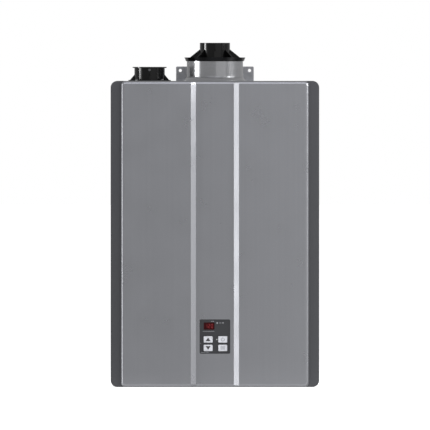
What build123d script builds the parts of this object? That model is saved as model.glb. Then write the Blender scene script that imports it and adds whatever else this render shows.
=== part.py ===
from build123d import *
import math
import os

# Wall-hung condensing tankless water heater, taken apart into its separate pieces.
# Millimetres. X runs right, Y back to the wall and Z up, and the front faces -Y.
# The origin is the centre of the case's footprint, on the level of its lower edge.

# Fits
clearance = 0.3
overrun = 1.0
button_play = 0.35

# Case sheet metal
case_width = 470.0
case_height = 690.0
case_depth = 290.0
case_corner_radius = 15.0
sheet = 1.2
trim_width = 23.5
trim_lap = 6.5
panel_flange = 12.0
lip_height = 18.0
pan_height = 46.0
bracket_plate = 2.5

# Front cover
cover_proud = 18.0
cover_return = 40.0
cover_corner_radius = 10.0
cover_edge_radius = 7.0
channel_floor = 85.6
channel_slope = 11.3
channel_depth = 8.5
seal_width = 5.0
seal_thickness = 2.6
seal_margin = 1.5

# Cover screws and their slotted feet under the bottom pan
cover_screw_x = 100.0
cover_screw_inset = 24.0
screw_foot_width = 40.0
screw_foot_setback = 10.0

# Countersunk screws of the cover and the side panels
flush_screw_radius = 2.0
flush_head_radius = 4.0
flush_land = 0.3
flush_screw_length = 12.0
case_screw_rows = 3
case_screw_margin = 70.0

# Pan-head screws of the intake
screw_radius = 1.9
screw_head_radius = 3.6
screw_head_height = 2.0
screw_crown = 0.8
screw_length = 8.0

# Wall brackets
bracket_width = 176.0
bracket_rise = 32.5
bracket_drop = 95.0
bracket_corner_radius = 2.5
bracket_hole_radius = 3.5
bracket_hole_spacing = 157.0
bracket_hole_edge = 9.0
lower_bracket_gap = 8.0
lower_bracket_lap = 45.0
lower_hole_rise = 17.0

# Controller set in the channel
control_width = 69.0
control_height = 77.3
control_centre_z = 113.9
control_corner_radius = 3.0
control_recess = 1.0
control_plate = 2.0
control_lip = 5.0
control_box_depth = 17.0
control_wall = 2.0
display_width = 23.7
display_height = 15.8
display_x = -13.05
display_z = 23.6
display_radius = 1.0
button_width = 20.1
button_height = 14.3
button_corner_radius = 1.8
button_proud = 1.3
button_edge_radius = 0.65
button_travel = 0.8
button_flange = 0.9
button_flange_thickness = 1.4
button_columns = (-15.3, 17.7)
button_rows = (-6.4, -25.5)
switch_size = 6.2
switch_board_thickness = 1.6
switch_height = 3.0

# Flue on top of the case
flue_collar_radius = 63.5
flue_collar_height = 44.4
flue_flange_radius = 76.0
flue_flare = 8.5
flue_flare_height = 9.0
flue_bead_radius = 1.1
flue_rim_radius = 69.0
flue_rim_thickness = 8.6
flue_rim_taper = 3.4
flue_pipe_radius = 34.1
flue_pipe_height = 86.0
flue_socket_radius = 30.4
flue_socket_depth = 52.0
flue_bore_radius = 27.0
flue_spigot_depth = 20.0
flue_spigot_wall = 2.5
flue_tail = 14.0
flue_seal_width = 4.0
flue_rib_count = 8
flue_rib_thickness = 3.0
flue_rib_rise = 18.0
flue_rib_reach = 22.5
flue_hole_radius = 37.0

# Air intake on top of the case
intake_edge_gap = 9.2
intake_radius = 34.3
intake_height = 31.6
intake_lip_radius = 38.5
intake_lip_thickness = 2.4
intake_socket_depth = 28.0
intake_flange_radius = 48.0
intake_flange_thickness = 2.6
intake_tail = 26.0
intake_tail_wall = 2.4
intake_rib_count = 4
intake_rib_thickness = 3.0
intake_rib_rise = 12.0
intake_rib_reach = 10.0
intake_seal_thickness = 1.0

# Heat engine, hung from the rear panel
engine_side_gap = 113.5
engine_depth = 150.0
engine_standoff = 28.0
engine_sheet = 1.5
engine_flange = 8.0
engine_flange_thickness = 2.0
hood_height = 66.0
hood_neck_height = 22.0
hood_wall = 2.0
secondary_height = 95.0
secondary_inset = 10.0
secondary_in_rise = 31.7
secondary_out_rise = 63.3
secondary_rib_count = 9
secondary_rib_radius = 5.0
secondary_plate_count = 6
secondary_plate = 2.0
primary_height = 60.0
primary_plate = 3.0
primary_inset = 6.0
primary_bead = 3.0
tube_radius = 8.0
tube_count = 5
tube_pitch = 27.0
tube_stub = 3.0
chamber_height = 110.0
burner_height = 50.0
burner_count = 9
burner_bar_width = 12.0
burner_bar_height = 34.0
burner_bar_lip = 4.0
burner_gap = 7.0
burner_ledge = 9.5
burner_throat = 19.6
sight_x = 60.0
sight_radius = 12.0
sight_bore = 6.0
sight_proud = 5.0
hanger_width = 40.0
hanger_height = 60.0
hanger_inset = 50.0
hanger_foot = 14.0

# Gas train
manifold_gap = 10.0
manifold_depth = 18.0
manifold_height = 22.0
manifold_margin = 14.0
manifold_corner = 4.5
manifold_boss = 5.5
manifold_bracket = 3.5
manifold_bracket_height = 11.0
nozzle_radius = 3.0
gas_gap = 3.0
gas_pipe_radius = 9.0
gas_valve_width = 56.0
gas_valve_depth = 44.0
gas_valve_height = 62.0
gas_valve_corner = 7.5
gas_coil_radius = 11.2
gas_coil_pitch = 32.0
gas_coil_height = 34.0

# Igniter and flame rod
electrode_x = (-30.0, 8.0)
electrode_radius = 4.5
electrode_length = 24.0
electrode_wire_radius = 1.4
electrode_wire_length = 30.0
electrode_plate = 2.0
electrode_rise = 34.0
electrode_margin = 12.0

# Blower
blower_inset = 9.0
blower_depth = 62.0
blower_wall = 2.0
scroll_radius = 56.0
scroll_growth = 8.0
outlet_height = 85.0
outlet_width = 50.0
outlet_flange = 7.0
outlet_flange_thickness = 3.0
inlet_radius = 33.0
inlet_bell = 6.0
impeller_radius = 46.0
impeller_bore_ring = 34.0
impeller_depth = 46.0
impeller_disc = 2.0
impeller_blades = 22
impeller_blade_thickness = 1.5
impeller_blade_chord = 9.6
impeller_blade_lean = 35.0
impeller_hub_radius = 9.0
shaft_radius = 4.0
shaft_seat = 22.0
motor_radius = 36.0
motor_length = 38.0
motor_boss_radius = 14.0
motor_flange_radius = 42.0
motor_flange_thickness = 3.0

# Water fittings and pipes
fitting_radius = 13.2
fitting_bore = 9.5
fitting_end = 6.0
hex_sides = 6
fitting_nut = 36.0
fitting_nut_height = 22.0
fitting_rise = 16.0
pipe_radius = 8.0
pipe_wall = 1.0
pipe_bend = 18.0
hot_edge_gap = 24.0
cold_pitch = 38.0
riser_gap = 22.0
sensor_radius = 17.0
sensor_length = 50.0
sensor_bore = 11.0
sensor_box = 14.0
turbine_radius = 10.2
turbine_hub_radius = 3.2
turbine_length = 14.0
turbine_blades = 5
turbine_blade_thickness = 1.2
turbine_pin_radius = 1.0
turbine_blade_chord = 7.0
turbine_blade_lean = 35.0
turbine_blade_root = 1.6
spider_thickness = 3.0
spider_bar = 2.4
spider_hub_radius = 3.6
valve_radius = 19.0
valve_length = 58.0
valve_motor_radius = 16.0
valve_motor_length = 17.0
valve_stem_radius = 8.0
valve_stem_length = 8.5
spigot_length = 6.0
spigot_wall = 2.0
drain_cap_radius = 8.0
drain_cap_length = 16.0
drain_cap_grip = 10.5
drain_cap_grip_length = 7.0
thermistor_radius = 4.5
thermistor_length = 14.0
thermistor_clip = 3.0
thermistor_rise = 40.0

# Condensate
trap_radius = 25.0
trap_height = 78.0
trap_cap_height = 14.0
hose_radius = 7.0
hose_bend = 24.0
trap_wall_gap = 26.5
trap_cap_sides = 12
drain_radius = 12.0
drain_bore = 8.5
drain_collar = 11.0

# Electrics
board_width = 140.0
board_height = 140.0
board_thickness = 1.6
board_gap_x = 55.0
board_rise = 34.0
board_post = 6.0
board_post_radius = 3.0
tray_depth = 24.0
tray_setback = 8.0
tray_margin = 4.0
tray_wall = 1.6
tray_foot = 16.0
board_components = (
    (6.0, 60.0, 34.0, 30.0, 9.0), (6.0, 98.0, 26.0, 34.0, 11.0), (50.0, 92.0, 40.0, 40.0, 8.0),
    (102.0, 96.0, 30.0, 30.0, 10.0), (104.0, 40.0, 28.0, 44.0, 6.0))
capacitor_spots = ((58.0, 50.0), (74.0, 50.0), (90.0, 50.0))
capacitor_radius = 6.0
capacitor_height = 11.0
connector_count = 6
connector_margin = 8.0
connector_pitch = 21.0
connector_width = 16.0
connector_height = 9.0
connector_depth = 8.0
transformer_x = -6.0
transformer_width = 36.0
transformer_depth = 30.0
transformer_height = 44.0
transformer_setback = 26.0
transformer_corner = 3.5
tower_radius = 7.0
tower_height = 14.0
lead_radius = 2.6
lead_bend = 14.0
lead_run = 32.1
grommet_wall_gap = 48.5
grommet_radius = 11.0
grommet_lip = 4.0
grommet_lip_thickness = 3.0
grommet_bore = 5.0

# Planes of the case
flush_cone = flush_head_radius - flush_screw_radius
half_width = case_width / 2
front_y = -case_depth / 2
wall_y = case_depth / 2
rear_face_y = wall_y - bracket_plate
rear_inner_y = rear_face_y - sheet
flange_y = front_y + cover_proud
flange_back_y = flange_y + sheet
panel_inner_x = half_width - trim_width - trim_lap
lip_half = panel_inner_x - clearance
inner_half = half_width - sheet - clearance
inner_corner_radius = case_corner_radius - sheet - clearance
top_face_z = case_height - sheet - clearance
top_under_z = top_face_z - sheet
pan_top_z = pan_height + sheet
cover_half = half_width - trim_width
intake_x = intake_edge_gap + intake_flange_radius - panel_inner_x
cover_back_y = front_y + cover_return
floor_y = front_y + channel_depth

# Levels and planes of the heat engine, from the top panel down and the rear panel forward
engine_half = inner_half - engine_side_gap
engine_back_y = rear_inner_y - engine_standoff
engine_front_y = engine_back_y - engine_depth
engine_y = engine_back_y - engine_depth / 2
hood_top_z = top_under_z - clearance
secondary_top_z = hood_top_z - hood_height
primary_top_z = secondary_top_z - secondary_height
chamber_top_z = primary_top_z - primary_height
burner_top_z = chamber_top_z - chamber_height
engine_bottom_z = burner_top_z - burner_height
vent_y = engine_y


def rect(x0, x1, y0, y1, radius=0.0):
    """Rectangle between two corners, with all its corners rounded where a radius is given."""
    if radius > 0:
        shape = RectangleRounded(x1 - x0, y1 - y0, radius)
    else:
        shape = Rectangle(x1 - x0, y1 - y0)
    return Pos((x0 + x1) / 2, (y0 + y1) / 2) * shape


def outline(*points):
    """Face inside a closed run of straight lines."""
    return make_face(Polyline(*points, close=True))


def prism_x(sketch, x0, x1):
    """Side-view sketch, drawn in depth and height, carried from x0 to x1."""
    return extrude(Plane.YZ.offset(x0) * sketch, amount=x1 - x0)


def prism_y(sketch, y0, y1):
    """Front-view sketch, drawn in width and height, carried from y0 back to y1."""
    return extrude(Plane.XZ.offset(-y1) * sketch, amount=y1 - y0)


def prism_z(sketch, z0, z1):
    """Top-view sketch, drawn in width and depth, carried from z0 up to z1."""
    return extrude(Plane.XY.offset(z0) * sketch, amount=z1 - z0)


def rod(start, end, radius, bore=0.0):
    """Round bar between two points, or a tube where a bore is given."""
    span = Vector(*end) - Vector(*start)
    section = Circle(radius)
    if bore > 0:
        section = section - Circle(bore)
    return extrude(Plane(origin=start, z_dir=span) * section, amount=span.length)


def turned(face, x=0.0, y=0.0):
    """Half profile, drawn in radius and height, turned about an upright axis."""
    return Pos(x, y, 0) * revolve(Plane.XZ * face, Axis.Z)


def pipe(points, radius, bend, wall=0.0):
    """Round pipe along straight runs joined by tangent bends."""
    path = FilletPolyline(*points, radius=bend)
    section = Circle(radius)
    if wall > 0:
        section = section - Circle(radius - wall)
    return sweep(Plane(origin=path @ 0, z_dir=path % 0) * section, path=path)


def mirrored(shape):
    """Shape and its mirror image about the middle of the case."""
    return shape + mirror(shape, about=Plane.YZ)


def screw(location, length=screw_length):
    """Pan-head screw whose head rests on the location's plane and whose shank runs below it."""
    head = extrude(Circle(screw_head_radius), amount=screw_head_height)
    rim = head.faces().sort_by(Axis.Z)[-1].edges()
    head = chamfer(rim, screw_crown)
    return location * (head + extrude(Circle(screw_radius), amount=-length))


def flush_screw(play):
    """Countersunk screw with its head's face at the origin, grown by a play for its hole."""
    head = flush_head_radius + play
    shank = flush_screw_radius + play
    cone = flush_land + flush_cone
    tip = flush_screw_length
    return turned(outline((0, -play), (head, -play), (head, flush_land), (shank, cone), (shank, tip),
                          (0, tip)))


def screw_hole(location, depth):
    """Clearance hole for a screw, both ways from the location's plane."""
    return location * extrude(Circle(screw_radius + clearance), amount=depth, both=True)


def case_outline(inset):
    """Front-view outline of the case, drawn in by an inset."""
    x = half_width - inset
    return rect(-x, x, inset, case_height - inset, case_corner_radius - inset)


def case_screw_spots():
    """Screws that hold the right side panel to the rear panel's flange."""
    y = rear_inner_y - panel_flange / 2
    step = (case_height - 2 * case_screw_margin) / (case_screw_rows - 1)
    heights = [case_screw_margin + row * step for row in range(case_screw_rows)]
    return [Location(Plane(origin=(half_width, y, z), z_dir=(-1, 0, 0))) for z in heights]


def side_panel():
    """Right side panel: wall, wrapped corners and the strip that shows beside the cover."""
    strip = rect(panel_inner_x, case_width, -case_height, 2 * case_height)
    panel = prism_y(case_outline(0) & strip, flange_y, rear_face_y)
    panel -= prism_y(case_outline(sheet), flange_back_y, rear_face_y + overrun)
    for spot in case_screw_spots():
        panel -= spot * flush_screw(clearance)
    return panel


def rear_panel():
    """Flat back of the case with its edges folded forward inside the side panels."""
    def face(inset):
        x = inner_half - inset
        top = top_under_z - inset
        shape = rect(-x, x, -case_height, top, inner_corner_radius - inset)
        return shape & rect(-case_width, case_width, pan_top_z + inset, 2 * case_height)
    fold_y = rear_inner_y - panel_flange
    panel = prism_y(face(0), fold_y, rear_face_y)
    panel -= prism_y(face(sheet), fold_y - overrun, rear_inner_y)
    for spot in case_screw_spots():
        panel -= mirrored(spot * flush_screw(clearance))
    return panel


def lipped_sheet(z_plate, z_lip):
    """Level sheet between the side panels with a lip at its front, up or down to z_lip."""
    z0 = z_plate
    z1 = z_plate + sheet
    plate = rect(flange_y, rear_face_y, z0, z1)
    lip = rect(flange_y, flange_back_y, min(z0, z_lip), max(z1, z_lip))
    return prism_x(plate + lip, -lip_half, lip_half)


def top_panel():
    """Top of the case, lapped under the side panels, with the vents' holes."""
    panel = lipped_sheet(top_under_z, top_under_z - lip_height)
    lap_half = half_width - case_corner_radius - clearance
    lap = rect(-lap_half, lap_half, flange_back_y + clearance, rear_face_y)
    panel += prism_z(lap, top_under_z, top_face_z)
    holes = Pos(0, vent_y) * Circle(flue_hole_radius)
    holes += Pos(intake_x, vent_y) * Circle(intake_tail_radius + clearance)
    panel -= prism_z(holes, top_under_z - overrun, top_face_z + overrun)
    for spot in intake_screw_spots():
        panel -= screw_hole(spot, screw_length)
    return panel


def bottom_pan():
    """Floor of the case, set up from its lower edge, with the holes of the fittings."""
    pan = lipped_sheet(pan_height, pan_top_z + lip_height)
    floor = rect(-inner_half, inner_half, flange_back_y + clearance, rear_face_y)
    pan += prism_z(floor, pan_height, pan_top_z)
    for x, y, radius in pan_holes():
        hole = Pos(x, y) * Circle(radius + clearance)
        pan -= prism_z(hole, pan_height - overrun, pan_top_z + overrun)
    return pan


def screw_foot(x):
    """Angle welded under the bottom pan, with an open slot for a cover screw."""
    leg_y = cover_screw_y + screw_foot_setback
    leg = rect(leg_y, leg_y + sheet, foot_z, pan_height)
    foot = rect(cover_screw_y - screw_foot_setback, leg_y + sheet, foot_z, foot_z + sheet)
    half = screw_foot_width / 2
    angle = prism_x(leg + foot, x - half, x + half)
    slot_half = flush_screw_radius + clearance
    slot = Pos(x, cover_screw_y) * Circle(slot_half)
    slot += rect(x - slot_half, x + slot_half, front_y, cover_screw_y)
    return angle - prism_z(slot, foot_z - overrun, foot_z + sheet + overrun)


def screw_feet():
    """Both angles for the cover screws."""
    return Compound(children=[screw_foot(-cover_screw_x), screw_foot(cover_screw_x)])


def cover_seal():
    """Foam frame between the cover and the faces behind it."""
    def face(inset):
        x = panel_inner_x + seal_width - inset
        low = pan_top_z + seal_margin + inset
        high = case_height - cover_corner_radius - clearance - inset
        return rect(-x, x, low, high)
    return prism_y(face(0) - face(seal_width), flange_y - seal_thickness, flange_y)


def wall_bracket(z0, z1, hole_z):
    """Flat bracket on the back of the rear panel with a hole near each end."""
    half = bracket_width / 2
    plate = rect(-half, half, z0, z1, bracket_corner_radius)
    for side in (-1, 1):
        plate -= Pos(side * bracket_hole_spacing / 2, hole_z) * Circle(bracket_hole_radius)
    return prism_y(plate, rear_face_y, wall_y)


# Fold lines of the cover's channel, and the places of its screws
channel_foot_x = channel_floor / 2
channel_rim_x = channel_foot_x + channel_slope
channel_angle = math.atan2(channel_depth, channel_slope)
cover_screw_y = front_y + cover_screw_inset
foot_z = flush_land + flush_cone + clearance


def cover_section(face_y, back_y, inset):
    """Side view of the cover: straight face with a rounded edge at its top and bottom."""
    profile = rect(face_y, back_y, inset, case_height - inset)
    corners = profile.vertices().group_by(Axis.X)[0]
    return fillet(corners, cover_edge_radius - inset)


def cover_wing(back_y, inset, rim_x):
    """Right-hand flat of the cover, rounded at its outer corners and front edges."""
    face_y = front_y + inset
    side_x = cover_half - inset
    wing = prism_y(rect(rim_x, side_x, inset, case_height - inset), face_y, back_y)
    corners = wing.edges().filter_by(Axis.Y).group_by(Axis.X)[-1]
    wing = fillet(corners, cover_corner_radius - inset)
    face = wing.faces().sort_by(Axis.Y)[0]
    edges = [edge for edge in face.edges() if edge.center().X > rim_x + clearance]
    return fillet(edges, cover_edge_radius - inset)


def cover_block(back_y, inset):
    """Solid under one side of the cover's sheet: two wings, two slopes and the channel's floor."""
    shift = inset * math.tan(channel_angle / 2)
    rim_x = channel_rim_x + shift
    foot_x = channel_foot_x + shift
    high = cover_section(front_y + inset, back_y, inset)
    low = cover_section(floor_y + inset, back_y, inset)
    slope = loft([Plane.YZ.offset(foot_x) * low, Plane.YZ.offset(rim_x) * high], ruled=True)
    side = cover_wing(back_y, inset, rim_x) + slope
    return mirrored(side) + prism_x(low, -foot_x, foot_x)


def front_cover():
    """Pressed front cover: a thin shell with top and bottom returns over the case."""
    cover = cover_block(cover_back_y, 0)
    cover -= cover_block(cover_back_y + overrun, sheet)
    side_back_y = flange_y - clearance
    past = rect(cover_half - cover_corner_radius, case_width, side_back_y, cover_back_y + overrun)
    cover -= mirrored(prism_z(past, -overrun, case_height + overrun))
    window = Pos(0, control_centre_z) * RectangleRounded(control_width, control_height, control_corner_radius)
    cover -= prism_y(window, front_y, floor_y + sheet + overrun)
    cover -= mirrored(cover_screw_spot() * flush_screw(clearance))
    return cover


def cover_screw_spot():
    """Place of the right-hand screw in the cover's lower return."""
    return Pos(cover_screw_x, cover_screw_y, 0)


# Layers of the controller, from its face back
bezel_face_y = floor_y + control_recess
bezel_back_y = bezel_face_y + control_plate
button_back_y = bezel_back_y + button_flange_thickness
switch_face_y = button_back_y + button_travel + clearance
board_front_y = switch_face_y + switch_height
board_back_y = board_front_y + switch_board_thickness
control_back_y = bezel_back_y + control_box_depth
control_half = control_width / 2 + control_lip
control_half_height = control_height / 2 + control_lip


def control_rect(half, half_height, radius=0.0):
    """Rectangle centred on the controller, seen from the front."""
    z = control_centre_z
    return rect(-half, half, z - half_height, z + half_height, radius)


def button_spots():
    """Centres of the four buttons, seen from the front."""
    return [(x, control_centre_z + z) for z in button_rows for x in button_columns]


def display_rect(grow):
    """Display window's outline, grown all round."""
    pane = RectangleRounded(display_width + 2 * grow, display_height + 2 * grow, display_radius + grow)
    return Pos(display_x, control_centre_z + display_z) * pane


def button_rect(spot, grow):
    """A button's outline, grown all round."""
    width = button_width + 2 * grow
    height = button_height + 2 * grow
    return Pos(*spot) * RectangleRounded(width, height, button_corner_radius + grow)


def control_bezel():
    """Dark face of the controller, held behind the cover's sheet by a lip."""
    half = control_width / 2 - clearance
    half_height = control_height / 2 - clearance
    bezel = prism_y(control_rect(half, half_height, control_corner_radius), bezel_face_y, bezel_back_y)
    bezel += prism_y(control_rect(control_half, control_half_height), floor_y + sheet, bezel_back_y)
    holes = display_rect(clearance)
    for spot in button_spots():
        holes += button_rect(spot, button_play)
    return bezel - prism_y(holes, front_y, bezel_back_y + overrun)


def display_window():
    """Tinted pane in the bezel with a flange behind it."""
    pane = prism_y(display_rect(0), bezel_face_y + clearance, bezel_back_y)
    return pane + prism_y(display_rect(button_flange), bezel_back_y, button_back_y)


def button(spot):
    """Push button: a crowned cap through the bezel and a flange behind it."""
    cap = prism_y(button_rect(spot, 0), bezel_face_y - button_proud, bezel_back_y)
    rim = cap.faces().sort_by(Axis.Y)[0].edges()
    cap = fillet(rim, button_edge_radius)
    return cap + prism_y(button_rect(spot, button_flange), bezel_back_y, button_back_y)


def switch_board():
    """Circuit board behind the buttons with one switch under each."""
    half = control_half - control_wall - clearance
    half_height = control_half_height - control_wall - clearance
    board = prism_y(control_rect(half, half_height), board_front_y, board_back_y)
    size = switch_size / 2
    for x, z in button_spots():
        board += prism_y(rect(x - size, x + size, z - size, z + size), switch_face_y, board_front_y)
    return board


def control_housing():
    """Back of the controller: an open box with posts under the board's corners."""
    inner = control_half - control_wall
    inner_height = control_half_height - control_wall
    floor = control_back_y - control_wall
    housing = prism_y(control_rect(control_half, control_half_height), bezel_back_y, control_back_y)
    housing -= prism_y(control_rect(inner, inner_height), bezel_back_y - overrun, floor)
    for side in (-1, 1):
        for end in (-1, 1):
            x = side * (inner - board_post_radius)
            z = control_centre_z + end * (inner_height - board_post_radius)
            housing += rod((x, board_back_y, z), (x, control_back_y, z), board_post_radius)
    return housing


# Levels of the vents above the case
rim_low_z = case_height + flue_collar_height
rim_top_z = rim_low_z + flue_rim_thickness
flue_top_z = case_height + flue_pipe_height
flue_tail_z = top_under_z - flue_tail
intake_tail_radius = flue_bore_radius + intake_tail_wall
intake_base_z = top_face_z + intake_seal_thickness
intake_flange_z = intake_base_z + intake_flange_thickness
intake_top_z = case_height + intake_height


def vent_ring(x, radius, count, z, turn):
    """Places evenly round a vent's axis at one level."""
    places = PolarLocations(radius, count, start_angle=turn)
    return [Pos(x, vent_y, z) * place for place in places]


def intake_screw_spots():
    """Screws through the intake's flange, between its ribs."""
    radius = (intake_flange_radius + intake_radius) / 2
    return vent_ring(intake_x, radius, intake_rib_count, intake_flange_z, 180 / intake_rib_count)


def flue_collar():
    """Spun steel collar: a flange welded to the top panel, a flared skirt, a bead and a round wall."""
    def profile(inset):
        wall = flue_collar_radius - inset
        low = top_face_z + sheet - inset
        bottom = low - sheet
        return outline((wall + flue_flare, low), (wall, low + flue_flare_height), (wall, rim_low_z),
                       (0, rim_low_z), (0, bottom), (flue_flange_radius, bottom), (flue_flange_radius, low))
    bead_z = top_face_z + sheet + flue_flare_height
    bead = Pos(flue_collar_radius, bead_z) * Circle(flue_bead_radius)
    return turned(profile(0) - profile(sheet) + bead, 0, vent_y)


def rib_ring(x, count, turn, radius, z, rise, reach, thickness):
    """Gusset ribs that stand between a socket's wall and the face below it."""
    root = radius - thickness
    face = outline((root, z), (radius + reach, z), (radius, z + rise), (root, z + rise))
    rib = extrude(Plane.XZ * face, amount=thickness / 2, both=True)
    step = 360 / count
    return [Pos(x, vent_y, 0) * Rot(0, 0, turn + index * step) * rib for index in range(count)]


def flue_adapter():
    """Black moulding in the collar: rim, spigot, ribs, pipe socket and a tail into the hood."""
    spigot_radius = flue_collar_radius - sheet - clearance
    spigot_z = rim_low_z - flue_spigot_depth
    socket_z = flue_top_z - flue_socket_depth
    body = outline(
        (flue_bore_radius, flue_tail_z), (flue_pipe_radius, flue_tail_z), (flue_pipe_radius, rim_low_z),
        (spigot_radius - flue_spigot_wall, rim_low_z), (spigot_radius - flue_spigot_wall, spigot_z),
        (spigot_radius, spigot_z), (spigot_radius, rim_low_z),
        (flue_rim_radius - flue_rim_taper, rim_low_z), (flue_rim_radius, rim_top_z),
        (flue_pipe_radius, rim_top_z), (flue_pipe_radius, flue_top_z),
        (flue_socket_radius, flue_top_z), (flue_socket_radius, socket_z), (flue_bore_radius, socket_z))
    adapter = turned(body, 0, vent_y)
    for rib in rib_ring(0, flue_rib_count, 0, flue_pipe_radius, rim_top_z,
                        flue_rib_rise, flue_rib_reach, flue_rib_thickness):
        adapter += rib
    return adapter


def intake_collar():
    """Black intake moulding: flange, ribs, pipe socket with a thin lip and a tail into the case."""
    socket_z = intake_top_z - intake_socket_depth
    lip_z = intake_top_z - intake_lip_thickness
    tail_z = top_under_z - intake_tail
    body = outline(
        (flue_bore_radius, tail_z), (intake_tail_radius, tail_z), (intake_tail_radius, intake_base_z),
        (intake_flange_radius, intake_base_z), (intake_flange_radius, intake_flange_z),
        (intake_radius, intake_flange_z), (intake_radius, lip_z), (intake_lip_radius, lip_z),
        (intake_lip_radius, intake_top_z), (flue_socket_radius, intake_top_z),
        (flue_socket_radius, socket_z), (flue_bore_radius, socket_z))
    collar = turned(body, intake_x, vent_y)
    rise = intake_rib_rise
    for rib in rib_ring(intake_x, intake_rib_count, 0, intake_radius, intake_flange_z,
                        rise, intake_rib_reach, intake_rib_thickness):
        collar += rib
    for spot in intake_screw_spots():
        collar -= screw_hole(spot, screw_length)
    return collar


def intake_seal():
    """Flat gasket under the intake's flange."""
    ring = Circle(intake_flange_radius) - Circle(intake_tail_radius + clearance)
    seal = prism_z(Pos(intake_x, vent_y) * ring, top_face_z, intake_base_z)
    for spot in intake_screw_spots():
        seal -= screw_hole(spot, screw_length)
    return seal


def vent_screws():
    """Screws of the intake's flange."""
    return Compound(children=[screw(spot) for spot in intake_screw_spots()])


def case_screws():
    """Screws of both side panels."""
    right = [spot * flush_screw(0) for spot in case_screw_spots()]
    left = [mirror(one, about=Plane.YZ) for one in right]
    return Compound(children=right + left)


# Places of the fittings in the bottom pan
gas_x = control_half + gas_gap + gas_valve_width / 2
gas_y = engine_front_y - manifold_gap - manifold_depth / 2
hot_x = panel_inner_x - hot_edge_gap
hot_y = engine_y - tube_pitch * (tube_count - 1) / 2
cold_x = hot_x - cold_pitch
cold_y = engine_front_y - riser_gap
trap_x = trap_wall_gap + trap_radius - inner_half
trap_y = engine_y
grommet_x = grommet_wall_gap - inner_half
grommet_y = engine_front_y
fitting_top_z = pan_top_z + fitting_rise


def pan_holes():
    """Centre and radius of what passes through the bottom pan."""
    water = [(x, y, fitting_radius) for x, y in ((cold_x, cold_y), (hot_x, hot_y), (gas_x, gas_y))]
    return water + [(trap_x, trap_y, drain_radius), (grommet_x, grommet_y, grommet_radius)]


# Rectangles of the heat engine, seen from above
def engine_rect(inset, radius=0.0):
    """Plan of the heat engine, drawn in all round."""
    x = engine_half - inset
    return rect(-x, x, engine_front_y + inset, engine_back_y - inset, radius)


hood_neck_bore = flue_pipe_radius + flue_seal_width
hood_neck_radius = hood_neck_bore + hood_wall
hood_neck_z = hood_top_z - hood_neck_height
secondary_half = engine_half - secondary_inset
secondary_front_y = engine_front_y + secondary_inset
spigot_radius = pipe_radius + spigot_wall


def exhaust_hood():
    """Sheet hood that gathers the exhaust from the secondary exchanger into the flue."""
    def body(inset, base_z):
        base = Plane.XY.offset(base_z) * engine_rect(secondary_inset + inset)
        half = hood_neck_radius - inset
        crown = Plane.XY.offset(hood_neck_z) * rect(-half, half, vent_y - half, vent_y + half)
        return loft([base, crown], ruled=True)
    hood = body(0, secondary_top_z) - body(hood_wall, secondary_top_z - overrun)
    neck = Pos(0, vent_y) * Circle(hood_neck_radius)
    bore = Pos(0, vent_y) * Circle(hood_neck_bore)
    hood += prism_z(neck, hood_neck_z - hood_wall, hood_top_z)
    return hood - prism_z(bore, hood_neck_z - 2 * hood_wall, hood_top_z + overrun)


def flue_seal():
    """Ring between the adapter's tail and the hood's neck."""
    ring = Circle(hood_neck_bore - clearance) - Circle(flue_pipe_radius + clearance)
    return prism_z(Pos(0, vent_y) * ring, flue_tail_z, hood_top_z)


# Spigots of the heat exchangers
secondary_in_z = primary_top_z + secondary_in_rise
secondary_out_z = primary_top_z + secondary_out_rise
secondary_in_y = engine_y
transfer_y = engine_y + tube_pitch * (tube_count - 1) / 2
condensate_y = trap_y
condensate_z = primary_top_z + spigot_radius + engine_flange_thickness
primary_z = chamber_top_z + primary_height / 2
primary_half = engine_half - primary_inset
tube_first_y = hot_y


def secondary_heat_exchanger():
    """Stainless duct with upright pressed ribs, a plate pack, water spigots and a condensate spigot."""
    block = prism_z(engine_rect(secondary_inset, secondary_rib_radius), primary_top_z, secondary_top_z)
    pitch = 2 * secondary_half / (secondary_rib_count + 1)
    low = primary_top_z + secondary_rib_radius
    high = secondary_top_z - secondary_rib_radius
    for index in range(secondary_rib_count):
        x = -secondary_half + (index + 1) * pitch
        block += rod((x, secondary_front_y, low), (x, secondary_front_y, high), secondary_rib_radius)
    block -= prism_z(engine_rect(secondary_inset + engine_sheet), primary_top_z - overrun,
                     secondary_top_z + overrun)
    gap = engine_depth - 2 * secondary_inset
    for index in range(secondary_plate_count):
        y = secondary_front_y + (index + 1) * gap / (secondary_plate_count + 1)
        plate = rect(-secondary_half, secondary_half, y, y + secondary_plate)
        block += prism_z(plate, primary_top_z + secondary_rib_radius, secondary_top_z - secondary_rib_radius)
    inner = secondary_half - engine_sheet
    reach = secondary_half + spigot_length
    block += rod((inner, secondary_in_y, secondary_in_z), (reach, secondary_in_y, secondary_in_z),
                 spigot_radius)
    for y, z in ((transfer_y, secondary_out_z), (condensate_y, condensate_z)):
        block += rod((-inner, y, z), (-reach, y, z), spigot_radius)
    return block


def primary_heat_exchanger():
    """Copper duct between two tube plates with straight tubes across it."""
    walls = engine_rect(primary_inset) - engine_rect(primary_inset + primary_plate)
    block = prism_z(walls, chamber_top_z, primary_top_z)
    bead = rect(engine_front_y + primary_inset - primary_bead, engine_front_y + primary_inset,
                primary_z - tube_radius, primary_z + tube_radius)
    block += prism_x(bead, -primary_half, primary_half)
    plate = rect(engine_front_y, engine_back_y, chamber_top_z, primary_top_z)
    block += mirrored(prism_x(plate, primary_half - primary_plate, primary_half))
    for index in range(tube_count):
        y = tube_y(index)
        block += rod((-primary_half, y, primary_z), (primary_half, y, primary_z), tube_radius)
    return block


def tube_y(index):
    """Depth of one tube of the primary exchanger."""
    return tube_first_y + index * tube_pitch


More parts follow.
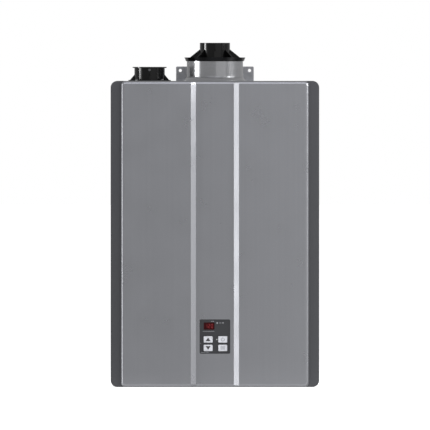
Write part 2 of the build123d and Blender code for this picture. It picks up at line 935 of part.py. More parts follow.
def return_bend(index, side):
    """Copper bend that joins a tube to the next one outside a tube plate."""
    start = side * primary_half
    turn = side * (primary_half + tube_stub)
    middle = tube_y(index) + tube_pitch / 2
    section = Plane(origin=(turn, tube_y(index), primary_z), z_dir=(side, 0, 0)) * Circle(tube_radius)
    bend = revolve(section, Axis((turn, middle, primary_z), (0, 0, side)), 180)
    for y in (tube_y(index), tube_y(index + 1)):
        bend += rod((start, y, primary_z), (turn, y, primary_z), tube_radius)
    return bend


def return_bends():
    """All bends: alternate pairs of tubes on the right and the left."""
    right = [return_bend(index, 1) for index in range(1, tube_count - 1, 2)]
    left = [return_bend(index, -1) for index in range(0, tube_count - 1, 2)]
    return Compound(children=right + left)


def combustion_chamber():
    """Open-ended box with flanges, a sight port and holes for the electrodes."""
    low_z = burner_top_z
    walls = engine_rect(engine_flange) - engine_rect(engine_flange + engine_sheet)
    flange = engine_rect(0) - engine_rect(engine_flange + engine_sheet)
    box = prism_z(walls, low_z, chamber_top_z)
    box += prism_z(flange, low_z, low_z + engine_flange_thickness)
    box += prism_z(flange, chamber_top_z - engine_flange_thickness, chamber_top_z)
    wall_y0 = engine_front_y + engine_flange
    port = Pos(sight_x, sight_z) * (Circle(sight_radius) - Circle(sight_bore))
    box += prism_y(port, wall_y0 - sight_proud, wall_y0)
    for x in electrode_x:
        hole = Pos(x, electrode_z) * Circle(electrode_radius + clearance)
        box -= prism_y(hole, engine_front_y, wall_y0 + engine_sheet + overrun)
    return box


# Burners and their gas manifold
burner_floor_z = engine_bottom_z + engine_sheet
burner_bar_z = burner_floor_z + burner_gap
burner_pitch = 2 * (engine_half - engine_flange - engine_sheet) / burner_count
nozzle_z = burner_bar_z + burner_bar_height / 2
blower_axis_x = blower_inset - engine_half
duct_right_x = blower_axis_x + scroll_radius + 2 * scroll_growth + scroll_growth / 2
duct_left_x = duct_right_x - outlet_width
electrode_z = burner_top_z + electrode_rise
sight_z = electrode_z
chamber_face_y = engine_front_y + engine_flange


def burner_x(index):
    """Middle of one burner bar."""
    return (index - (burner_count - 1) / 2) * burner_pitch


def burner_box():
    """Tray under the chamber: air inlet in its floor, gas holes in front and ledges for the bars."""
    wall = engine_flange + engine_sheet
    tray = prism_z(engine_rect(engine_flange), engine_bottom_z, burner_top_z)
    tray -= prism_z(engine_rect(wall), burner_floor_z, burner_top_z + overrun)
    lip = engine_rect(0) - engine_rect(wall)
    tray += prism_z(lip, burner_top_z - engine_flange_thickness, burner_top_z)
    between = engine_rect(wall) - rect(-engine_half, engine_half, engine_front_y + wall + burner_ledge,
                                       engine_back_y - wall - burner_ledge)
    tray += prism_z(between, burner_bar_z - engine_flange_thickness, burner_bar_z)
    inset = blower_wall
    duct = rect(duct_left_x + inset, duct_right_x - inset, blower_front_y + inset, blower_back_y - inset)
    tray -= prism_z(duct, engine_bottom_z - overrun, burner_floor_z + overrun)
    for index in range(burner_count):
        hole = Pos(burner_x(index), nozzle_z) * Circle(nozzle_radius + clearance)
        tray -= prism_y(hole, engine_front_y, engine_front_y + wall + overrun)
    return tray


def burner_bars():
    """Slim burners side by side, each a gas passage under a narrow row of ports."""
    wall = engine_flange + engine_sheet + clearance
    half = burner_bar_width / 2
    waist = half - burner_bar_lip / 2
    top = burner_bar_z + burner_bar_height
    bars = []
    for index in range(burner_count):
        x = burner_x(index)
        face = outline((x - half, burner_bar_z), (x + half, burner_bar_z), (x + half, nozzle_z + half),
                       (x + waist, nozzle_z + half + burner_bar_lip), (x + waist, top),
                       (x - waist, top), (x - waist, nozzle_z + half + burner_bar_lip),
                       (x - half, nozzle_z + half))
        bar = prism_y(face, engine_front_y + wall, engine_back_y - wall)
        throat = Pos(x, nozzle_z) * Circle(nozzle_radius + clearance)
        bars.append(bar - prism_y(throat, engine_front_y, engine_front_y + wall + burner_throat))
    return Compound(children=bars)


def gas_manifold():
    """Gas rail in front of the burner box with one nozzle for each burner."""
    half = engine_half - manifold_margin
    low = nozzle_z - manifold_height / 2
    rail = rect(gas_y - manifold_depth / 2, gas_y + manifold_depth / 2, low, low + manifold_height,
                manifold_corner)
    manifold = prism_x(rail, -half, half)
    tip = chamber_face_y + engine_sheet + nozzle_radius
    for index in range(burner_count):
        x = burner_x(index)
        manifold += rod((x, gas_y, nozzle_z), (x, tip, nozzle_z), nozzle_radius)
    reach = manifold_bracket_height / 2
    end = rect(gas_y, chamber_face_y, nozzle_z - reach, nozzle_z + reach)
    manifold += mirrored(prism_x(end, half - manifold_bracket, half))
    boss = Pos(gas_x, gas_y) * Circle(gas_pipe_radius)
    return manifold + prism_z(boss, low - manifold_boss, nozzle_z)


def igniter_electrodes():
    """Igniter and flame rod: ceramic bodies on one plate with wires into the chamber."""
    low_x = min(electrode_x) - electrode_margin
    high_x = max(electrode_x) + electrode_margin
    plate_y = chamber_face_y - electrode_plate
    plate = rect(low_x, high_x, electrode_z - electrode_margin, electrode_z + electrode_margin,
                 electrode_radius)
    electrodes = prism_y(plate, plate_y, chamber_face_y)
    for x in electrode_x:
        inner_y = chamber_face_y + engine_sheet + electrode_radius
        electrodes += rod((x, electrode_end_y, electrode_z), (x, inner_y, electrode_z), electrode_radius)
        electrodes += rod((x, plate_y, electrode_z), (x, inner_y + electrode_wire_length, electrode_z),
                          electrode_wire_radius)
    return electrodes


def engine_hangers():
    """Two hat-shaped hangers between the chamber and the rear panel."""
    t = engine_flange_thickness
    half = hanger_width / 2
    hanger_x = engine_half - hanger_inset
    back_y = rear_inner_y
    front = engine_back_y - engine_flange
    low = chamber_top_z - chamber_height / 2 - hanger_height / 2
    face = rect(hanger_x - half, hanger_x + half, front, front + t)
    for side in (-1, 1):
        web = hanger_x + side * half
        face += rect(min(web, web - side * t), max(web, web - side * t), front, back_y)
        foot = web + side * hanger_foot
        face += rect(min(web, foot), max(web, foot), back_y - t, back_y)
    hanger = prism_z(face, low, low + hanger_height)
    return Compound(children=[hanger, mirror(hanger, about=Plane.YZ)])


# Blower under the burner box
blower_z = engine_bottom_z - outlet_height
blower_front_y = engine_y - blower_depth / 2
blower_back_y = engine_y + blower_depth / 2
impeller_back_y = blower_back_y - 2 * blower_wall - impeller_disc
impeller_front_y = impeller_back_y - impeller_depth
electrode_end_y = chamber_face_y - electrode_length


def blower_sketch(face):
    """Front-view face about the blower's axis, moved to its place."""
    return Pos(blower_axis_x, blower_z) * face


def scroll_face(inset, top):
    """Scroll: three quarter turns of growing radius, then a straight outlet up to the top."""
    step = scroll_growth / 2
    first = scroll_radius - inset
    second = first + scroll_growth
    third = second + scroll_growth
    right = step + third
    left = step + scroll_radius + 2 * scroll_growth - outlet_width + inset
    tongue = first - step
    turns = [CenterArc((-step, -step), first, 90, 90), CenterArc((step, -step), second, 180, 90),
             CenterArc((step, step), third, 270, 90)]
    duct = Polyline((right, step), (right, top), (left, top), (left, tongue), (-step, tongue))
    return make_face(turns + [duct])


def blower_housing():
    """Moulded scroll with an inlet bell in front, a motor hole behind and a flange on its outlet."""
    wall = blower_wall
    housing = prism_y(blower_sketch(scroll_face(0, outlet_height)), blower_front_y, blower_back_y)
    flange = rect(duct_left_x - outlet_flange, duct_right_x + outlet_flange,
                  blower_front_y - outlet_flange, blower_back_y + outlet_flange, outlet_flange)
    housing += prism_z(flange, engine_bottom_z - outlet_flange_thickness, engine_bottom_z)
    bell = blower_sketch(Circle(inlet_radius + inlet_bell))
    housing += prism_y(bell, blower_front_y - inlet_bell, blower_front_y)
    hollow = blower_sketch(scroll_face(wall, outlet_height + overrun))
    housing -= prism_y(hollow, blower_front_y + wall, blower_back_y - wall)
    housing -= prism_y(blower_sketch(Circle(inlet_radius)), blower_front_y - 2 * inlet_bell, engine_y)
    motor_hole = blower_sketch(Circle(motor_boss_radius + clearance))
    return housing - prism_y(motor_hole, engine_y, blower_back_y + overrun)


def blower_motor():
    """Motor on the back of the scroll with a bore for the shaft."""
    flange_y1 = blower_back_y + motor_flange_thickness
    end_y = flange_y1 + motor_length
    motor = prism_y(blower_sketch(Circle(motor_flange_radius)), blower_back_y, flange_y1)
    can = prism_y(blower_sketch(Circle(motor_radius)), flange_y1, end_y)
    rim = can.faces().sort_by(Axis.Y)[-1].edges()
    motor += fillet(rim, motor_flange_thickness)
    motor += prism_y(blower_sketch(Circle(motor_boss_radius)), blower_back_y - blower_wall, blower_back_y)
    bore = blower_sketch(Circle(shaft_radius + clearance))
    return motor - prism_y(bore, engine_y, shaft_end_y + clearance)


def blower_impeller():
    """Squirrel-cage impeller: disc, leaning blades, front ring, hub and the motor's shaft."""
    disc = prism_y(blower_sketch(Circle(impeller_radius)), impeller_back_y, impeller_back_y + impeller_disc)
    ring = Circle(impeller_radius) - Circle(impeller_bore_ring + impeller_disc)
    cage = disc + prism_y(blower_sketch(ring), impeller_front_y, impeller_front_y + impeller_disc)
    middle = (impeller_radius + impeller_bore_ring) / 2
    for place in PolarLocations(middle, impeller_blades):
        blade = Rot(0, 0, impeller_blade_lean) * Rectangle(impeller_blade_chord, impeller_blade_thickness)
        cage += prism_y(blower_sketch(place * blade), impeller_front_y, impeller_back_y + impeller_disc)
    hub_y = impeller_back_y - impeller_hub_radius
    cage += prism_y(blower_sketch(Circle(impeller_hub_radius)), hub_y, impeller_back_y)
    return cage + prism_y(blower_sketch(Circle(shaft_radius)), hub_y, shaft_end_y)


shaft_end_y = blower_back_y + shaft_seat


def fitting(x, y):
    """Threaded pipe stub through the bottom pan: stub, nut against the pan and a neck above it."""
    nut_z = pan_height - fitting_nut_height
    body = prism_z(Circle(fitting_radius), fitting_end, fitting_top_z)
    nut = RegularPolygon(fitting_nut / 2, hex_sides, major_radius=False)
    body += prism_z(nut, nut_z, pan_height)
    return Pos(x, y, 0) * (body - prism_z(Circle(fitting_bore), 0, fitting_top_z + overrun))


def drain_cap(x, y):
    """Cap on the front flat of a fitting's nut."""
    z = pan_height - drain_cap_grip - clearance
    face_y = y - fitting_nut / 2
    grip_y = face_y - drain_cap_length
    cap = rod((x, face_y, z), (x, grip_y, z), drain_cap_radius)
    return cap + rod((x, grip_y + drain_cap_grip_length, z), (x, grip_y, z), drain_cap_grip)


def drain_caps():
    """Drain caps of the cold and the hot side."""
    return Compound(children=[drain_cap(cold_x, cold_y), drain_cap(hot_x, hot_y)])


# Levels of the cold water line, from its fitting up
sensor_top_z = fitting_top_z + sensor_length
turbine_z = fitting_top_z + sensor_length / 2
valve_top_z = sensor_top_z + valve_length
spider_low_z = turbine_z - turbine_length / 2 - clearance
spider_high_z = turbine_z + turbine_length / 2 + clearance


def flow_sensor():
    """Tube with a pick-up box in front and a spider at each end of the turbine's pin."""
    tube = prism_z(Circle(sensor_radius), fitting_top_z, sensor_top_z)
    half = sensor_box / 2
    tube += prism_z(rect(-half, half, -sensor_radius - half, 0), turbine_z - half, turbine_z + half)
    tube -= prism_z(Circle(sensor_bore), fitting_top_z - overrun, sensor_top_z + overrun)
    spider = Circle(spider_hub_radius) - Circle(turbine_pin_radius + clearance)
    bar = rect(-sensor_bore - overrun, sensor_bore + overrun, -spider_bar / 2, spider_bar / 2)
    spider += bar - Circle(spider_hub_radius)
    tube += prism_z(spider, spider_low_z - spider_thickness, spider_low_z)
    tube += prism_z(spider, spider_high_z, spider_high_z + spider_thickness)
    return Pos(cold_x, cold_y, 0) * tube


def flow_turbine():
    """Turbine of the flow sensor: hub, leaning blades and a pin at each end."""
    half = turbine_length / 2
    pin = spider_thickness + clearance
    wheel = prism_z(Circle(turbine_hub_radius), -half, half)
    wheel += prism_z(Circle(turbine_pin_radius), -half - pin, half + pin)
    reach = turbine_radius - turbine_blade_root
    for index in range(turbine_blades):
        plate = Box(reach, turbine_blade_thickness, turbine_blade_chord,
                    align=(Align.MIN, Align.CENTER, Align.CENTER))
        blade = Pos(turbine_blade_root, 0, 0) * Rot(turbine_blade_lean, 0, 0) * plate
        wheel += Rot(0, 0, index * 360 / turbine_blades) * blade
    wheel &= prism_z(Circle(turbine_radius), -turbine_length, turbine_length)
    return Pos(cold_x, cold_y, turbine_z) * wheel


def water_valve():
    """Water control valve: brass body on the flow sensor with its motor in front."""
    body = prism_z(Circle(valve_radius), sensor_top_z, valve_top_z - spigot_length)
    body += prism_z(Circle(spigot_radius), sensor_top_z, valve_top_z)
    middle = (sensor_top_z + valve_top_z) / 2
    face = -valve_radius - valve_stem_length
    body += rod((0, 0, middle), (0, face, middle), valve_stem_radius)
    motor = rod((0, face, middle), (0, face - valve_motor_length, middle), valve_motor_radius)
    return Pos(cold_x, cold_y, 0) * (body + motor)


def cold_pipe():
    """Copper pipe from the water valve up to the secondary exchanger."""
    reach = secondary_half + spigot_length
    return pipe([(cold_x, cold_y, valve_top_z), (cold_x, cold_y, secondary_in_z),
                 (cold_x, secondary_in_y, secondary_in_z), (reach, secondary_in_y, secondary_in_z)],
                pipe_radius, pipe_bend, pipe_wall)


def transfer_pipe():
    """Copper pipe from the secondary exchanger down into the primary one."""
    reach = secondary_half + spigot_length
    out_x = -reach - 2 * pipe_bend
    return pipe([(-reach, transfer_y, secondary_out_z), (out_x, transfer_y, secondary_out_z),
                 (out_x, transfer_y, primary_z), (-primary_half, transfer_y, primary_z)],
                pipe_radius, pipe_bend, pipe_wall)


def hot_pipe():
    """Copper pipe from the primary exchanger down to the hot outlet."""
    return pipe([(primary_half, hot_y, primary_z), (hot_x, hot_y, primary_z), (hot_x, hot_y, fitting_top_z)],
                pipe_radius, pipe_bend, pipe_wall)


def thermistor(x, y, z):
    """Sensor on a clip round a pipe."""
    bore = pipe_radius + clearance
    clip = prism_z(Circle(bore + thermistor_clip) - Circle(bore), z, z + 2 * thermistor_radius)
    middle = z + thermistor_radius
    probe = rod((0, -bore - thermistor_clip / 2, middle), (0, -bore - thermistor_length, middle),
                thermistor_radius)
    return Pos(x, y, 0) * (clip + probe)


def thermistors():
    """Sensors on the cold and the hot pipe."""
    cold = thermistor(cold_x, cold_y, valve_top_z + thermistor_rise)
    return Compound(children=[cold, thermistor(hot_x, hot_y, fitting_top_z + thermistor_rise)])


# Gas valve above its fitting
gas_valve_z = fitting_top_z
gas_valve_top_z = gas_valve_z + gas_valve_height
manifold_low_z = nozzle_z - manifold_height / 2 - manifold_boss


def gas_valve():
    """Cast valve block with two coils in front."""
    half = gas_valve_width / 2
    block = rect(gas_x - half, gas_x + half, gas_y - gas_valve_depth / 2, gas_y + gas_valve_depth / 2,
                 gas_valve_corner)
    valve = prism_z(block, gas_valve_z, gas_valve_top_z)
    face_y = gas_y - gas_valve_depth / 2
    coil_z = (gas_valve_z + gas_valve_top_z) / 2
    for side in (-1, 1):
        x = gas_x + side * gas_coil_pitch / 2
        valve += rod((x, face_y, coil_z), (x, face_y - gas_coil_height, coil_z), gas_coil_radius)
    return valve


def gas_pipe():
    """Steel pipe from the valve up to the manifold with a union nut at its foot."""
    tube = Circle(gas_pipe_radius) - Circle(gas_pipe_radius - pipe_wall)
    nut = RegularPolygon(gas_pipe_radius + spigot_wall, hex_sides, major_radius=False)
    column = prism_z(tube, gas_valve_top_z, manifold_low_z)
    column += prism_z(nut - Circle(gas_pipe_radius - pipe_wall), gas_valve_top_z,
                      gas_valve_top_z + fitting_nut_height)
    return Pos(gas_x, gas_y, 0) * column


# Condensate line
trap_cap_z = pan_top_z + trap_height
trap_top_z = trap_cap_z + trap_cap_height
trap_spigot_z = trap_top_z + spigot_length


def condensate_trap():
    """Upright trap on the bottom pan with a grip cap and a hose spigot on top."""
    body = prism_z(Circle(trap_radius - clearance), pan_top_z, trap_cap_z)
    body += prism_z(RegularPolygon(trap_radius, trap_cap_sides), trap_cap_z, trap_top_z)
    body += prism_z(Circle(hose_radius), trap_top_z, trap_spigot_z)
    return Pos(trap_x, trap_y, 0) * body


def condensate_hose():
    """Hose from the secondary exchanger's spigot down to the trap."""
    start_x = -secondary_half - spigot_length
    return pipe([(start_x, condensate_y, condensate_z), (trap_x, condensate_y, condensate_z),
                 (trap_x, trap_y, trap_spigot_z)], hose_radius, hose_bend, pipe_wall)


def condensate_drain():
    """Drain stub under the trap with a collar against the pan."""
    collar_z = pan_height - drain_collar
    collar_radius = drain_radius + drain_collar
    profile = outline((drain_bore, fitting_end), (drain_radius, fitting_end), (drain_radius, collar_z),
                      (collar_radius, collar_z), (collar_radius, pan_height), (drain_radius, pan_height),
                      (drain_radius, pan_top_z), (drain_bore, pan_top_z))
    return turned(profile, trap_x, trap_y)


def cable_grommet():
    """Rubber grommet snapped into the bottom pan."""
    lip = grommet_radius + grommet_lip
    low = pan_height - grommet_lip_thickness
    high = pan_top_z + grommet_lip_thickness
    profile = outline((grommet_bore, low), (lip, low), (lip, pan_height), (grommet_radius, pan_height),
                      (grommet_radius, pan_top_z), (lip, pan_top_z), (lip, high), (grommet_bore, high))
    return turned(profile, grommet_x, grommet_y)


# Control board in its tray, in front of the blower
tray_front_y = flange_back_y + tray_setback
tray_back_y = tray_front_y + tray_depth
board_x1 = -board_gap_x - tray_wall - tray_margin
board_x0 = board_x1 - board_width
board_z0 = pan_top_z + board_rise
board_z1 = board_z0 + board_height
board_back_plane = tray_back_y - tray_wall - board_post
board_front_plane = board_back_plane - board_thickness


def board_tray():
    """Open tray on two feet that carries the control board on posts."""
    grow = tray_margin + tray_wall
    outer = rect(board_x0 - grow, board_x1 + grow, board_z0 - grow, board_z1 + grow, grow)
    inner = rect(board_x0 - tray_margin, board_x1 + tray_margin, board_z0 - tray_margin,
                 board_z1 + tray_margin, tray_margin)
    tray = prism_y(outer, tray_front_y, tray_back_y)
    tray -= prism_y(inner, tray_front_y - overrun, tray_back_y - tray_wall)
    for x in (board_x0 + board_post, board_x1 - board_post):
        for z in (board_z0 + board_post, board_z1 - board_post):
            tray += rod((x, board_back_plane, z), (x, tray_back_y, z), board_post_radius)
    leg = rect(tray_back_y - tray_wall, tray_back_y, pan_top_z, board_z0)
    leg += rect(tray_back_y - tray_foot, tray_back_y, pan_top_z, pan_top_z + tray_wall)
    for x in (board_x0, board_x1 - tray_foot):
        tray += prism_x(leg, x, x + tray_foot)
    return tray


def board_block(x, z, width, height, depth):
    """A component on the board's front, given by its lower left corner on the board."""
    x0 = board_x0 + x
    z0 = board_z0 + z
    return prism_y(rect(x0, x0 + width, z0, z0 + height), board_front_plane - depth, board_front_plane)


def control_board():
    """Circuit board with relays, a transformer, a heat sink, capacitors and connectors."""
    board = prism_y(rect(board_x0, board_x1, board_z0, board_z1), board_front_plane, board_back_plane)
    for x, z, width, height, depth in board_components:
        board += board_block(x, z, width, height, depth)
    for index in range(connector_count):
        board += board_block(connector_margin + index * connector_pitch, connector_margin,
                             connector_width, connector_height, connector_depth)
    for x, z in capacitor_spots:
        start = (board_x0 + x, board_front_plane, board_z0 + z)
        end = (board_x0 + x, board_front_plane - capacitor_height, board_z0 + z)
        board += rod(start, end, capacitor_radius)
    return board


# Ignition transformer on the bottom pan and its lead to the igniter
transformer_y = flange_back_y + transformer_setback + transformer_depth / 2
transformer_top_z = pan_top_z + transformer_height
tower_top_z = transformer_top_z + tower_height


def ignition_transformer():
    """Moulded transformer with a round lead tower on top."""
    half = transformer_width / 2
    depth = transformer_depth / 2
    block = rect(transformer_x - half, transformer_x + half, transformer_y - depth, transformer_y + depth,
                 transformer_corner)
    body = prism_z(block, pan_top_z, transformer_top_z)
    tower = Pos(transformer_x, transformer_y) * Circle(tower_radius)
    return body + prism_z(tower, transformer_top_z, tower_top_z)


def ignition_lead():
    """High-tension lead from the transformer's tower to the igniter."""
    x = electrode_x[0]
    y = electrode_end_y - lead_run
    turn_z = (tower_top_z + electrode_z) / 2
    return pipe([(transformer_x, transformer_y, tower_top_z), (transformer_x, transformer_y, turn_z),
                 (x, y, turn_z + 2 * abs(transformer_x - x)), (x, y, electrode_z),
                 (x, electrode_end_y, electrode_z)], lead_radius, lead_bend)


def cover_screws():
    """Both screws in the cover's lower return."""
    right = cover_screw_spot() * flush_screw(0)
    return Compound(children=[right, mirror(right, about=Plane.YZ)])


upper_bracket_top_z = case_height + bracket_rise
lower_bracket_top_z = pan_top_z + lower_bracket_lap
button_names = ("button_up", "button_power", "button_down", "button_menu")
right_side = side_panel()
nodes = {
    "side_panel_right": right_side,
    "side_panel_left": mirror(right_side, about=Plane.YZ),
    "rear_panel": rear_panel(),
    "top_panel": top_panel(),
    "bottom_pan": bottom_pan(),
    "screw_feet": screw_feet(),
    "cover_seal": cover_seal(),
    "wall_bracket_upper": wall_bracket(upper_bracket_top_z - bracket_rise - bracket_drop, upper_bracket_top_z,
                                       upper_bracket_top_z - bracket_hole_edge),
    "wall_bracket_lower": wall_bracket(lower_bracket_gap, lower_bracket_top_z,
                                       lower_bracket_gap + lower_hole_rise),
    "case_screws": case_screws(),
    "front_cover": front_cover(),
    "cover_screws": cover_screws(),
    "control_bezel": control_bezel(),
    "display_window": display_window(),
    "switch_board": switch_board(),
    "control_housing": control_housing(),
    "flue_collar": flue_collar(),
    "flue_adapter": flue_adapter(),
    "flue_seal": flue_seal(),
    "intake_collar": intake_collar(),
    "intake_seal": intake_seal(),
    "vent_screws": vent_screws(),
    "exhaust_hood": exhaust_hood(),
    "secondary_heat_exchanger": secondary_heat_exchanger(),
    "primary_heat_exchanger": primary_heat_exchanger(),
    "return_bends": return_bends(),
    "combustion_chamber": combustion_chamber(),
    "burner_box": burner_box(),
    "burner_bars": burner_bars(),
    "gas_manifold": gas_manifold(),
    "igniter_electrodes": igniter_electrodes(),
    "engine_hangers": engine_hangers(),
    "blower_housing": blower_housing(),
    "blower_motor": blower_motor(),
    "blower_impeller": blower_impeller(),
    "gas_inlet": fitting(gas_x, gas_y),
    "gas_valve": gas_valve(),
    "gas_pipe": gas_pipe(),
    "cold_inlet": fitting(cold_x, cold_y),
    "hot_outlet": fitting(hot_x, hot_y),
    "drain_caps": drain_caps(),
    "flow_sensor": flow_sensor(),
    "flow_turbine": flow_turbine(),
    "water_valve": water_valve(),
    "cold_pipe": cold_pipe(),
    "transfer_pipe": transfer_pipe(),
    "hot_pipe": hot_pipe(),
    "thermistors": thermistors(),
    "condensate_trap": condensate_trap(),
    "condensate_hose": condensate_hose(),
    "condensate_drain": condensate_drain(),
    "board_tray": board_tray(),
    "control_board": control_board(),
    "ignition_transformer": ignition_transformer(),
    "ignition_lead": ignition_lead(),
    "cable_grommet": cable_grommet(),
}
for name, spot in zip(button_names, button_spots()):
    nodes[name] = button(spot)

os.makedirs("parts", exist_ok=True)
for name, shape in nodes.items():
    export_step(shape, f"parts/{name}.step")
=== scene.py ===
import math
import bpy
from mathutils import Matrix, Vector


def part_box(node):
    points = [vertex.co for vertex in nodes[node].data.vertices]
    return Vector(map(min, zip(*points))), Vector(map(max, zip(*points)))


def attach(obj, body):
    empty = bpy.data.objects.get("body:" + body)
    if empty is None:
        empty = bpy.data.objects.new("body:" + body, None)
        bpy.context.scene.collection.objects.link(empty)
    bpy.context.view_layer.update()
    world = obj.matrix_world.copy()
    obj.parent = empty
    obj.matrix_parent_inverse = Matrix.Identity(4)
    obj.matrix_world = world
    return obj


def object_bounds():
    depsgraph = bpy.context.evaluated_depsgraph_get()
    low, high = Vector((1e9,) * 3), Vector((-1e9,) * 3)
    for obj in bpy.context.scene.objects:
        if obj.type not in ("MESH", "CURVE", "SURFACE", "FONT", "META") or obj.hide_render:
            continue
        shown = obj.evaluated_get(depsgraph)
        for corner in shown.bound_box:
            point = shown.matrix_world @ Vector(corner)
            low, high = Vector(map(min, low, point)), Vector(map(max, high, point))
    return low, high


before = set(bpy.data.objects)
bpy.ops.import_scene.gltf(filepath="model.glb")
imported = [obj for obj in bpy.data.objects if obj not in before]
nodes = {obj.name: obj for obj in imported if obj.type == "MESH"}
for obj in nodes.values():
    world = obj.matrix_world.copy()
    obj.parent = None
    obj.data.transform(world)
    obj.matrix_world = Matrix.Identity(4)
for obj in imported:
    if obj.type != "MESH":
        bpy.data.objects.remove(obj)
size_at_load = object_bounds()
MM = 0.001


# Materials

class Finish:
    """A Principled material whose textures lie in metres on the resting object."""

    def __init__(self, name, metallic=0.0, roughness=0.5):
        self.material = bpy.data.materials.new(name)
        self.material.use_nodes = True
        self.tree = self.material.node_tree
        self.surface = self.tree.nodes["Principled BSDF"]
        self.set("Metallic", metallic)
        self.set("Roughness", roughness)
        self.place = self.add("ShaderNodeTexCoord").outputs["Object"]

    def feed(self, socket, value):
        """Links a texture to a socket, or sets the socket's own value."""
        if isinstance(value, bpy.types.NodeSocket):
            self.tree.links.new(value, socket)
        else:
            socket.default_value = value

    def set(self, socket, value):
        """Feeds one of the shader's sockets."""
        self.feed(self.surface.inputs[socket], value)

    def add(self, kind, **values):
        """New node with some of its input sockets fed."""
        node = self.tree.nodes.new(kind)
        for name, value in values.items():
            self.feed(node.inputs[name.replace("_", " ")], value)
        return node

    def stretch(self, x, y, z):
        """Place scaled along its axes, for grain that runs one way."""
        return self.add("ShaderNodeMapping", Vector=self.place, Scale=(x, y, z)).outputs["Vector"]

    def noise(self, scale, detail=2.0, vector=None):
        """Soft noise with grains of one over scale metres."""
        node = self.add("ShaderNodeTexNoise", Vector=vector or self.place, Scale=scale, Detail=detail)
        return node.outputs["Fac"]

    def cells(self, scale, output="Color"):
        """Random cells one over scale metres wide."""
        node = self.add("ShaderNodeTexVoronoi", Vector=self.place, Scale=scale)
        return node.outputs[output]

    def edges(self, scale):
        """Distance to the borders of random cells one over scale metres wide."""
        node = self.add("ShaderNodeTexVoronoi", Vector=self.place, Scale=scale)
        node.feature = "DISTANCE_TO_EDGE"
        return node.outputs["Distance"]

    def ramp(self, factor, *stops):
        """Colour ramp through (position, colour) stops."""
        node = self.add("ShaderNodeValToRGB", Fac=factor)
        for element, (position, color) in zip(node.color_ramp.elements, stops):
            element.position = position
            element.color = (*color, 1.0)
        return node.outputs["Color"]

    def span(self, factor, low, high, start=0.3, end=0.7):
        """Texture value from start to end carried to a range."""
        node = self.add("ShaderNodeMapRange", Value=factor, From_Min=start, From_Max=end,
                        To_Min=low, To_Max=high)
        return node.outputs["Result"]

    def blend(self, factor, first, second):
        """Two colours mixed by a factor."""
        node = self.tree.nodes.new("ShaderNodeMix")
        node.data_type = "RGBA"
        sockets = {socket.identifier: socket for socket in (*node.inputs, *node.outputs)}
        self.feed(sockets["Factor_Float"], factor)
        self.feed(sockets["A_Color"], first)
        self.feed(sockets["B_Color"], second)
        return sockets["Result_Color"]

    def bump(self, height, depth):
        """Relief of that depth in metres."""
        node = self.add("ShaderNodeBump", Height=height, Distance=depth, Strength=1.0)
        self.set("Normal", node.outputs["Normal"])


def grey(value, tint=0.0):
    """Neutral colour, a little bluer where a tint is given."""
    return (value * (1 - tint), value * (1 - 0.8 * tint), value)


def shifted(color, factor):
    """Colour made darker or lighter."""
    return tuple(channel * factor for channel in color)


def metallic_paint(name, color, metallic, roughness):
    """Stoved metallic paint: fine flake, a faint orange peel and a slow drift of its gloss."""
    finish = Finish(name, metallic)
    flake = finish.noise(2600, 1.0)
    streak = finish.noise(1, 3.0, finish.stretch(160, 160, 1.2))
    tone = finish.blend(0.2, flake, streak)
    finish.set("Base Color", finish.ramp(tone, (0.25, shifted(color, 0.91)), (0.75, shifted(color, 1.09))))
    finish.set("Roughness", finish.span(finish.noise(16, 3.0), roughness - 0.03, roughness + 0.03))
    finish.bump(finish.noise(380, 1.0), 0.000006)
    return finish.material


def galvanised_sheet(name, color, roughness):
    """Zinc-coated sheet with its spangle and a little grain."""
    finish = Finish(name, 0.9)
    spangle = finish.cells(95)
    drift = finish.noise(260, 3.0)
    tone = finish.blend(0.35, spangle, drift)
    finish.set("Base Color", finish.ramp(tone, (0.2, shifted(color, 0.86)), (0.8, shifted(color, 1.1))))
    finish.set("Roughness", finish.span(tone, roughness - 0.05, roughness + 0.07))
    finish.bump(drift, 0.00001)
    return finish.material


def turned_metal(name, color, roughness, spread=0.14, axis=(6, 6, 900), depth=0.00001, metallic=1.0):
    """Bright metal with fine rings or drawn lines, and a slow cloudiness."""
    finish = Finish(name, metallic)
    lines = finish.noise(1, 2.0, finish.stretch(*axis))
    cloud = finish.noise(30, 3.0)
    tone = finish.blend(0.4, lines, cloud)
    low = shifted(color, 1 - spread)
    finish.set("Base Color", finish.ramp(tone, (0.3, low), (0.7, shifted(color, 1 + spread / 2))))
    finish.set("Roughness", finish.span(lines, roughness - 0.04, roughness + 0.05))
    finish.bump(lines, depth)
    return finish.material


def cast_metal(name, color, roughness):
    """Die-cast alloy with a fine open grain."""
    finish = Finish(name, 0.85)
    grain = finish.noise(900, 4.0)
    finish.set("Base Color", finish.ramp(grain, (0.3, shifted(color, 0.8)), (0.7, shifted(color, 1.1))))
    finish.set("Roughness", finish.span(finish.noise(60), roughness - 0.06, roughness + 0.08))
    finish.bump(grain, 0.00005)
    return finish.material


def aged_metal(name, color, stain, roughness):
    """Metal with handling or heat stains and a soft bloom."""
    finish = Finish(name, 1.0)
    bloom = finish.noise(45, 5.0)
    fine = finish.noise(700)
    clean = finish.ramp(fine, (0.3, shifted(color, 0.92)), (0.7, shifted(color, 1.05)))
    finish.set("Base Color", finish.blend(finish.span(bloom, 0.0, 0.75, 0.5, 0.78), clean, (*stain, 1.0)))
    finish.set("Roughness", finish.span(bloom, roughness - 0.06, roughness + 0.16))
    finish.bump(fine, 0.000006)
    return finish.material


